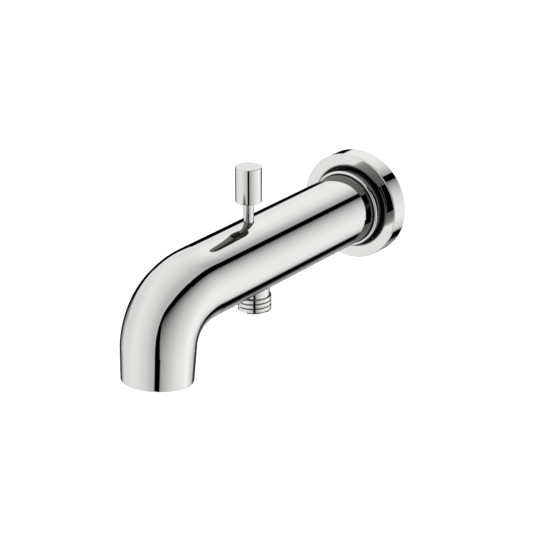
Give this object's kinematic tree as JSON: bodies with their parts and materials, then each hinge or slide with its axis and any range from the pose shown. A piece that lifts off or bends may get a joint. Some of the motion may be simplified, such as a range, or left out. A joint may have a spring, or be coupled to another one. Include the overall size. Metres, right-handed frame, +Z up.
{
  "type": "bath spout with diverter",
  "caption": "Wall-mounted chrome bath spout: round tube bent down to its outlet, flat wall flange round a collar, pull-up diverter knob on a stem, and a threaded hose outlet underneath.",
  "frame": {"origin": "centre of the pipe thread's mouth, in the plane of the wall", "axes": "-Y along the tube away from the wall, +Z up, +X to the right as seen from the wall's front"},
  "size_m": [0.07, 0.2408, 0.1095],
  "materials": {
    "chrome": "polished chrome plate on brass",
    "brass": "machined",
    "valve_plastic": "moulded acetal",
    "grid_plastic": "moulded",
    "steel": "woven wire",
    "rubber": "moulded"
  },
  "bodies": {
    "spout": {"spout_body": "chrome", "wall_flange": "chrome", "flange_ring": "rubber", "wall_gasket": "rubber", "inlet_bush": "chrome", "inlet_ring": "rubber", "pipe_washer": "rubber", "diverter_insert": "valve_plastic", "insert_ring_back": "rubber", "insert_ring_front": "rubber", "gland_bush": "brass", "stem_ring": "rubber", "hose_outlet": "chrome", "hose_ring": "rubber", "aerator_housing": "chrome", "aerator_grid": "grid_plastic", "aerator_screen": "steel", "aerator_washer": "rubber"},
    "diverter": {"diverter_knob": "chrome", "diverter_stem": "chrome", "gate": "valve_plastic", "gate_pad": "rubber", "gate_nut": "brass"}
  },
  "joints": [
    {"name": "diverter_lift", "type": "slide", "parent": "spout", "child": "diverter", "axis": [0, 0, 1], "range_m": [0, 0.01]}
  ]
}
